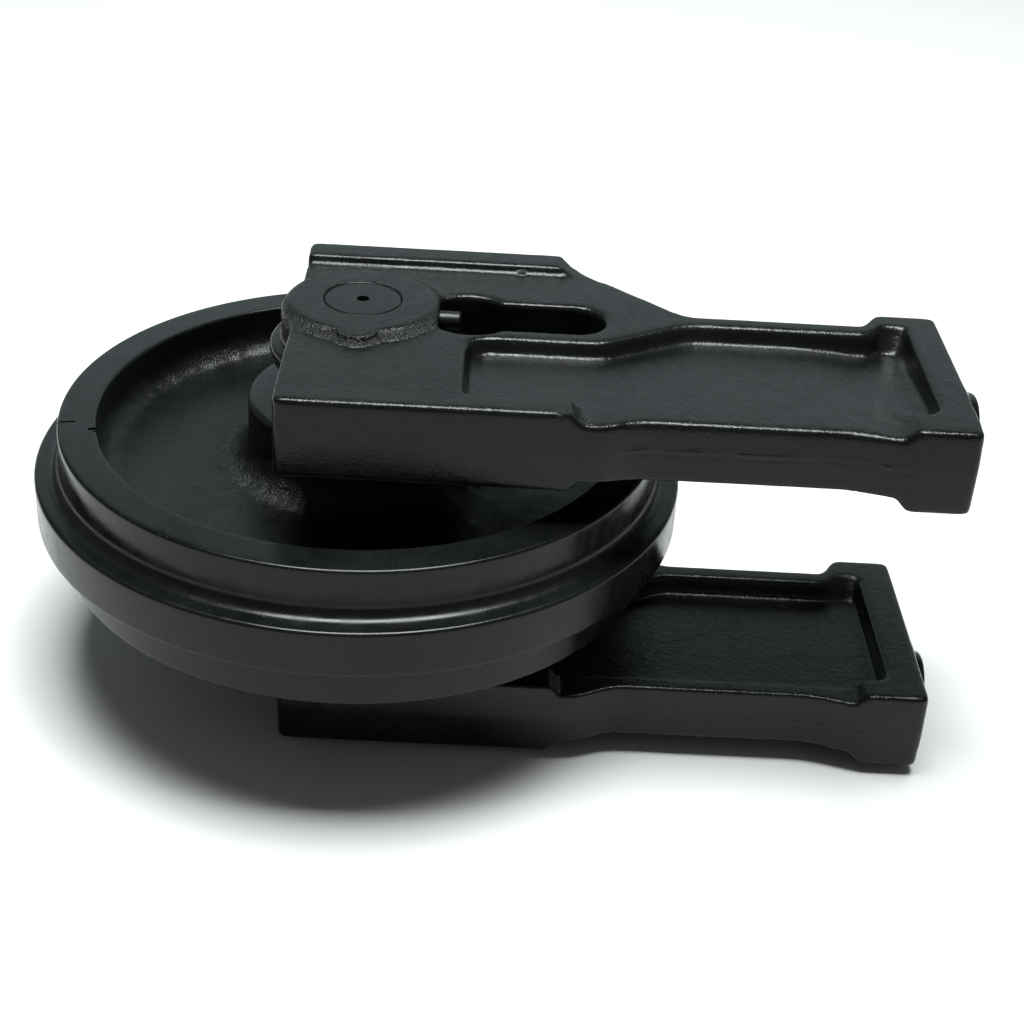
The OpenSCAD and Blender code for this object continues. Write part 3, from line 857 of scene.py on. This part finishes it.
@dataclass
class Bracket:
    """One sand-cast bracket: block, boss and pocketed arm, with its machined holes."""

    side: Side
    finish: Material
    seed: int
    sizes: CastingSizes = CastingSizes()
    mould_edges: MouldEdges = MouldEdges()
    draft: MouldDraft = MouldDraft()
    # fineness of the casting's mesh, and its rounding
    voxel: float = 0.9
    keep: float = 0.36
    edge_rounds: int = 6
    soft_rounds: int = 34
    sharp_angle: float = 58.0
    # bore with its flat, and the nose with the seal's recess
    bore_r: float = 21.45
    bore_fill: float = 1.2
    flat_y: float = 20.05
    flat_foot: float = 85.0
    flat_step: float = 0.02
    bore_chamfer: float = 0.3
    nose_end: float = 44.05
    nose_r: float = 30.0
    facing_r: float = 34.0
    boss_top: float = 109.0
    recess_r: float = 41.0
    recess_low: float = 54.0
    recess_high: float = 66.0
    recess_open: float = 1.5
    recess_points: int = 128
    # hole of the lock pin
    lock_r: float = 5.27
    lock_fill: float = 0.4
    lock_z: float = 98.5
    lock_reach: Pair = (10.0, 42.0)
    lock_points: int = 48
    # tapped holes
    thread_core: float = 7.0
    thread_depth: float = 1.0
    thread_pitch: float = 2.0
    thread_points: int = 40
    thread_steps: int = 4
    thread_chamfer: float = 0.9
    bolt_depth: float = 26.0
    bolt_places: Pair = (-98.0, 2.0)
    # how far fillings reach into the metal, and cutters stand out of it
    fill: float = 0.3
    overrun: float = 2.0
    mouth_overrun: float = 1.0
    chamfer_overrun: float = 0.5

    @property
    def node(self) -> str:
        """Name of the solid that the casting stands for."""
        return f"{self.side.word}_bracket"

    def build(self) -> Piece:
        """Casts, fettles and machines the bracket.

        Returns:
            The finished piece, dressed and riding on the yoke.
        """
        piece = piece_of(f"{self.side.word}_casting", self._blank())
        self._cast(piece)
        for cutter in self._cutters():
            cut_away(piece, cutter)
        paint(piece, self.finish, self.sharp_angle)
        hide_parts(self.node)
        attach(piece, "yoke")
        return piece

    def _mirrored(self, mesh: Mesh) -> Mesh:
        """Puts a solid drawn for the upper side on this side."""
        if self.side is Side.LOWER:
            mesh.transform(Matrix.Scale(-1, 4, (0, 0, 1)))
            mesh.flip_normals()
        return mesh

    def _blank(self) -> Mesh:
        """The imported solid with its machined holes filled, as it comes from the mould."""
        work = bmesh.new()
        work.from_mesh(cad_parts[self.node].data)
        bmesh.ops.remove_doubles(work, verts=work.verts, dist=1e-6)
        reach = self.sizes.arm_reach
        plugs = [
            rod(self.bore_r + self.bore_fill, self.nose_end, self.boss_top),
            rod(self.recess_r + self.fill, self.recess_low, self.recess_high + self.fill),
            laid_along_x(rod(self.lock_r + self.lock_fill, *self.lock_reach), 0, self.lock_z),
        ]
        for y in self.bolt_places:
            plug = rod(self.thread_core + self.fill, reach - self.bolt_depth - self.fill, reach)
            plugs.append(laid_along_x(plug, y, self.sizes.mid_plane))
        for plug in plugs:
            work.from_mesh(self._mirrored(plug))
            bpy.data.meshes.remove(plug)
        mesh = bpy.data.meshes.new(f"{self.side.word}_casting")
        work.to_mesh(mesh)
        work.free()
        return mesh

    def _cast(self, piece: Piece) -> None:
        """Gives the blank rounded edges and the skin that sand leaves.

        Args:
            piece: the blank, whose mesh is replaced.
        """
        remesh = piece.modifiers.new("sand", "REMESH")
        remesh.mode = "VOXEL"
        remesh.voxel_size = self.voxel * MM
        settle(piece)
        flip = np.array([1, 1, self.side.value])
        points = points_of(piece.data) * flip
        edges = edges_of(piece.data)
        points = relaxed(points, edges, np.full(len(points), HALF_WAY), self.edge_rounds)
        points = relaxed(points, edges, HALF_WAY * self.mould_edges.share(points), self.soft_rounds)
        points = self.draft.moved(points)
        set_points(piece.data, points * flip)
        normals = normals_of(piece.data) * flip
        lift, rough = SandSkin(self.seed).cover(points, normals)
        set_points(piece.data, (points + normals * lift[:, None]) * flip)
        mark(piece.data, ROUGH, rough)
        thin = piece.modifiers.new("thin", "DECIMATE")
        thin.ratio = self.keep
        settle(piece)

    def _cutters(self) -> list[Mesh]:
        """The shapes of the drills and cutters that machine the bracket."""
        start, end = self.lock_reach
        lock = laid_along_x(rod(self.lock_r, start, end + self.overrun, self.lock_points), 0, self.lock_z)
        facing = rod(self.facing_r, self.nose_end - self.overrun, self.nose_end)
        holes = [laid_along_x(self._thread(), y, self.sizes.mid_plane) for y in self.bolt_places]
        cutters = (facing, self._bore(), self._recess(), lock, *holes)
        return [self._mirrored(mesh) for mesh in cutters]

    def _bore(self) -> Mesh:
        """The shaft's bore, flat on one side in its outer part."""
        across = np.maximum(-np.sin(round_angles(ROUND_POINTS)), 1e-6)
        dee = np.minimum(self.bore_r, self.flat_y / across)
        proud = self.chamfer_overrun
        return turned([
            circle(self.bore_r, self.nose_end - self.overrun),
            circle(self.bore_r, self.flat_foot),
            circle(dee, self.flat_foot + self.flat_step),
            circle(dee, self.boss_top - self.bore_chamfer),
            circle(dee + self.bore_chamfer + proud, self.boss_top + proud),
        ])

    def _recess(self) -> Mesh:
        """The round channel for the floating seal."""
        foot = self.recess_low - self.recess_open
        profile = [
            (self.nose_r, foot),
            (self.recess_r, foot),
            (self.recess_r, self.recess_high),
            (self.nose_r, self.recess_high),
        ]
        return revolved(np.array(profile), self.recess_points)

    def _thread(self) -> Mesh:
        """A tapped hole, standing on the shaft axis with its mouth upwards."""
        count, reach = self.thread_points, self.sizes.arm_reach
        turn = np.arange(count) / count
        rings = []
        step = self.thread_pitch / self.thread_steps
        for level in np.arange(reach - self.bolt_depth, reach - self.mouth_overrun, step):
            phase = (level / self.thread_pitch + turn) % 1
            radius = self.thread_core + self.thread_depth * (1 - np.abs(2 * phase - 1))
            rings.append(circle(radius, level, count))
        mouth = self.thread_core + self.thread_depth
        rings.append(circle(mouth, reach - self.thread_chamfer, count))
        wide = mouth + self.thread_chamfer + self.mouth_overrun
        rings.append(circle(wide, reach + self.mouth_overrun, count))
        return turned(rings)


# Wheel


@dataclass(frozen=True)
class DishSkin:
    """The unevenness of the wheel's cast dish: web, hub side and rim side."""

    seed: int = 5
    dish_r: Band = (Span(60, 62.5), Span(147, 145.5))
    dish_z: Span = Span(51.5, 48)
    hub_side: Span = Span(43, 46)
    # fillets: middle and width
    rim_fillet_r: Pair = (144.0, 9.0)
    rim_fillet_z: Pair = (18.0, 9.0)
    hub_fillet_r: Pair = (67.0, 12.0)
    hub_fillet_z: Span = Span(46, 36)
    # roughness of web, rim fillet and hub fillet
    web_rough: float = 0.28
    rim_rough: float = 0.25
    hub_rough: float = 0.8
    # waves: size and height
    dish_waves: tuple[Pair, ...] = ((34, 0.3), (9, 0.12))
    fillet_waves: tuple[Pair, ...] = ((5.5, 0.6), (2.8, 0.45))
    rough_wave: Pair = (3.2, 0.1)

    def cover(self, points: Array) -> tuple[Array, Array]:
        """The skin of the wheel.

        Args:
            points: places on the smooth wheel.

        Returns:
            How far each point is raised, and how rough the paint's grain is there.
        """
        grain = Grain(self.seed)
        radius = np.hypot(points[:, 0], points[:, 1])
        level = np.abs(points[:, 2])
        dish = within(radius, self.dish_r) * self.dish_z.of(level)
        rim = hill(radius, *self.rim_fillet_r) * hill(level, *self.rim_fillet_z)
        hub = hill(radius, *self.hub_fillet_r) * self.hub_fillet_z.of(level)
        rough = dish * np.clip(self.web_rough + self.rim_rough * rim + self.hub_rough * hub, 0, 1)
        lift = dish * sum(height * grain.at(points, size) for size, height in self.dish_waves)
        fillet_lift = sum(height * grain.at(points, size) for size, height in self.fillet_waves)
        size, height = self.rough_wave
        lift += dish * (rim + hub) * fillet_lift + rough * height * grain.at(points, size)
        return lift * self.hub_side.of(radius), rough


@dataclass(frozen=True)
class Nick:
    """A knock in the rim's upper face: bearing in degrees, radii, width and depth."""

    bearing: float
    inner: float
    outer: float
    width: float
    depth: float


@dataclass
class IdlerWheel:
    """The flanged wheel: a cast web and hub with turned rim, treads, flange and bore."""

    finish: Material
    skin: DishSkin = DishSkin()
    segments: int = 372
    fillet_steps: int = 9
    # distance of the section's points, outside and inside a radius
    step: float = 2.2
    plain_step: float = 12.0
    plain_r: float = 45.0
    sharp_angle: float = 50.0
    # corners of the upper half: radius, level and rounding
    corners: tuple[Corner, ...] = (
        (32.05, 6, 0),
        (29.05, 6, 0),
        (29.05, 40, 0),
        (41, 40, 0),
        (41, 52, 0),
        (63, 52, 3),
        (63, 14, 15),
        (146, 14, 12),
        (146, 40.3, 1.6),
        (167, 40.3, 1.9),
        (167, 13.3, 7.5),
        (181.2, 13.3, 2.2),
    )
    rim_face: float = 40.3
    nicks: tuple[Nick, ...] = (
        Nick(-169, 157, 169, 1.1, 2.8),
        Nick(-165.4, 143, 150.5, 2.2, 7.0),
        Nick(-164.2, 144, 148, 1.2, 5.0),
    )
    # width of a nick at its foot and at its outer end, as shares of its width
    nick_foot: float = 0.35
    nick_end: float = 0.6
    nick_overrun: float = 1.0

    def build(self) -> Piece:
        """Turns the wheel and roughens its cast faces.

        Returns:
            The finished piece, dressed and riding on the wheel body.
        """
        mesh = revolved(self._profile(), self.segments)
        mesh.name = "flanged_wheel"
        points = points_of(mesh)
        mesh.shade_smooth()
        lift, rough = self.skin.cover(points)
        set_points(mesh, points + normals_of(mesh) * lift[:, None])
        mark(mesh, ROUGH, rough)
        piece = piece_of("flanged_wheel", mesh)
        for nick in self.nicks:
            cut_away(piece, self._chisel(nick))
        paint(piece, self.finish, self.sharp_angle)
        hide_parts("idler_wheel")
        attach(piece, "wheel")
        return piece

    def _chisel(self, nick: Nick) -> Mesh:
        """The wedge that leaves a nick in the rim's upper face."""
        inner, outer, width = nick.inner, nick.outer, nick.width
        foot, head = self.rim_face - nick.depth, self.rim_face + self.nick_overrun
        slim, end = self.nick_foot * width, self.nick_end * width
        low = [(inner, -slim, foot), (outer, -slim, foot), (outer, slim, foot), (inner, slim, foot)]
        high = [(inner, -width, head), (outer, -end, head), (outer, end, head), (inner, width, head)]
        wedge = turned([np.array(low), np.array(high)])
        wedge.transform(Matrix.Rotation(math.radians(nick.bearing), 4, "Z"))
        return wedge

    def _profile(self) -> Array:
        """The closed section, with rounded corners and points close enough to roughen."""
        loop = list(self.corners) + [(r, -z, fillet) for r, z, fillet in reversed(self.corners)]
        outline: list[Array] = []
        for i, corner in enumerate(loop):
            outline += self._rounded(loop[i - 1], corner, loop[(i + 1) % len(loop)])
        spread = []
        for here, there in zip(outline, outline[1:] + outline[:1]):
            step = self.step if min(here[0], there[0]) > self.plain_r else self.plain_step
            parts = max(1, int(np.linalg.norm(there - here) / step))
            spread += [here + (there - here) * k / parts for k in range(parts)]
        return np.array(spread)

    def _rounded(self, previous: Corner, corner: Corner, following: Corner) -> list[Array]:
        """The points of one corner of the section.

        Args:
            previous: the corner before it.
            corner: radius, level and rounding of the corner.
            following: the corner after it.

        Returns:
            One point for a sharp corner, or those of an arc.
        """
        here, fillet = np.array(corner[:2]), corner[2]
        if fillet == 0:
            return [here]
        before = np.array(previous[:2]) - here
        after = np.array(following[:2]) - here
        before, after = before / np.linalg.norm(before), after / np.linalg.norm(after)
        half = math.acos(float(np.clip(before @ after, -1, 1))) / 2
        middle = here + (before + after) / np.linalg.norm(before + after) * fillet / math.sin(half)
        first = here + before * fillet / math.tan(half) - middle
        last = here + after * fillet / math.tan(half) - middle
        sweep = math.pi - 2 * half
        arc = []
        for turn in np.arange(self.fillet_steps + 1) / self.fillet_steps:
            way = math.sin((1 - turn) * sweep) * first + math.sin(turn * sweep) * last
            arc.append(middle + way / math.sin(sweep))
        return arc


# Small parts


@dataclass
class ShaftParts:
    """The shaft with its pins, plugs, bushes and seals, whose solids are shown as they are."""

    paint: Material
    pin: Material
    plug: Material
    bronze: Material
    iron: Material
    rubber: Material

    def dress(self) -> list[Piece]:
        """Gives each of the solids its finish.

        Returns:
            The dressed pieces.
        """
        endings = {
            "lock_pin": self.pin,
            "oil_plug": self.plug,
            "bush": self.bronze,
            "seal_ring": self.iron,
            "toric": self.rubber,
            "oring": self.rubber,
            "shaft": self.paint,
        }
        dressed = []
        for name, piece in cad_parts.items():
            for ending, finish in endings.items():
                if name.endswith(ending):
                    piece.data.materials.clear()
                    piece.data.materials.append(finish)
                    dressed.append(piece)
                    break
        return dressed


# Studio


@dataclass(frozen=True)
class Softbox:
    """One rectangular light, in metres and watts."""

    name: str
    place: Corner
    target: Corner
    size: Pair
    power: float
    tint: Colour

    def hang(self) -> None:
        """Hangs the light so that it faces its target."""
        lamp = bpy.data.lights.new(self.name, "AREA")
        lamp.shape = "RECTANGLE"
        lamp.size, lamp.size_y = self.size
        lamp.energy = self.power
        lamp.color = self.tint
        light = bpy.data.objects.new(self.name, lamp)
        light.location = self.place
        aim = Vector(self.place) - Vector(self.target)
        light.rotation_euler = aim.to_track_quat("Z", "Y").to_euler()
        bpy.context.scene.collection.objects.link(light)


@dataclass
class Studio:
    """Pale floor, soft lights and the camera."""

    floor_level: float = -110.4
    floor_size: float = 16.0
    floor_dark: Colour = (0.55, 0.55, 0.55)
    floor_light: Colour = (0.58, 0.58, 0.58)
    floor_cloud: float = 900.0
    floor_roughness: float = 0.9
    room_tint: Colour = (0.97, 0.99, 1.0)
    room_light: float = 0.15
    lights: tuple[Softbox, ...] = (
        Softbox("top_light", (0.09, 0.0, 3.0), (0.09, 0.0, 0.0), (1.8, 1.35), 236, (0.95, 1.0, 0.99)),
        Softbox("back_light", (0.1, 2.7, 1.12), (0.05, 0.0, 0.05), (5.0, 1.15), 10.8, (0.76, 0.98, 1.0)),
    )
    camera_place: Corner = (0.0695, -0.8852, 0.5070)
    azimuth: float = -1.189
    elevation: float = 30.813
    roll: float = 3.525
    lens: float = 62.33
    sensor: float = 36.0
    sight: Pair = (0.02, 60.0)

    def build(self) -> None:
        """Sets up floor, surroundings, lights and camera."""
        self._floor()
        self._surroundings()
        for light in self.lights:
            light.hang()
        self._camera()
        bpy.context.scene.view_settings.view_transform = "Standard"

    def _floor(self) -> None:
        """Lays the pale floor."""
        half, level = self.floor_size / 2, self.floor_level * MM
        corners = [(-half, -half, level), (half, -half, level), (half, half, level), (-half, half, level)]
        mesh = bpy.data.meshes.new("floor")
        mesh.from_pydata(corners, [], [(0, 1, 2, 3)])
        sheet = NodeSheet("floor_paper")
        cloud = sheet.noise(self.floor_cloud, 2)
        sheet.feed("Base Color", sheet.blend(cloud, self.floor_dark, self.floor_light))
        sheet.set(Roughness=self.floor_roughness, Specular_IOR_Level=0.0)
        mesh.materials.append(sheet.material)
        piece_of("floor", mesh)

    def _surroundings(self) -> None:
        """Gives the room an even pale light."""
        world = bpy.data.worlds.new("room")
        world.use_nodes = True
        back = world.node_tree.nodes["Background"]
        back.inputs["Color"].default_value = (*self.room_tint, 1)
        back.inputs["Strength"].default_value = self.room_light
        bpy.context.scene.world = world

    def _camera(self) -> None:
        """Sets the camera at the viewing angle."""
        turn, lift, roll = map(math.radians, (self.azimuth, self.elevation, self.roll))
        back = Vector((math.sin(turn) * math.cos(lift), -math.cos(turn) * math.cos(lift), math.sin(lift)))
        right = Vector((math.cos(turn), math.sin(turn), 0))
        up = back.cross(right)
        tilted = right * math.cos(roll) + up * math.sin(roll)
        raised = -right * math.sin(roll) + up * math.cos(roll)
        data = bpy.data.cameras.new("camera")
        data.lens, data.sensor_width = self.lens, self.sensor
        data.clip_start, data.clip_end = self.sight
        camera = bpy.data.objects.new("camera", data)
        rotation = Matrix((tilted, raised, back)).transposed().to_4x4()
        camera.matrix_world = Matrix.Translation(self.camera_place) @ rotation
        bpy.context.scene.collection.objects.link(camera)
        bpy.context.scene.camera = camera


def report(piece: Piece) -> None:
    """Logs a finished piece."""
    LOG.info("%s: %d points, %d faces", piece.name, len(piece.data.vertices), len(piece.data.polygons))


def main() -> None:
    """Builds the part and the studio."""
    logging.basicConfig(level=logging.INFO, format="%(name)s %(message)s")
    cast_paint = BlackPaint("cast_bracket_paint", rough_mark=ROUGH).material()
    wheel_paint = BlackPaint(
        "wheel_paint_coat", rough_mark=ROUGH, least_grain=0.06, most_grain=3.2, peel_depth=0.03,
    ).material()
    shaft_paint = BlackPaint("shaft_end_paint", shine=0.19, turning_depth=0.02, grain_depth=0.05).material()
    pin_paint = BlackPaint("pin_paint_coat", roughness=0.34, grain_depth=0.06).material()
    for side, seed in ((Side.UPPER, 11), (Side.LOWER, 23)):
        report(Bracket(side, cast_paint, seed).build())
    report(IdlerWheel(wheel_paint).build())
    parts = ShaftParts(
        paint=shaft_paint,
        pin=pin_paint,
        plug=BareMetal("oxide_plug_steel", (0.03, 0.03, 0.03), (0.07, 0.07, 0.07)).material(),
        bronze=BareMetal("bush_bronze_turned", (0.42, 0.27, 0.12), (0.58, 0.4, 0.2)).material(),
        iron=BareMetal("lapped_seal_iron", (0.3, 0.3, 0.3), (0.5, 0.5, 0.5), roughness=0.2).material(),
        rubber=SealRubber("seal_ring_rubber").material(),
    )
    for piece in parts.dress():
        report(piece)
    Studio().build()


if __name__ == "__main__":
    main()
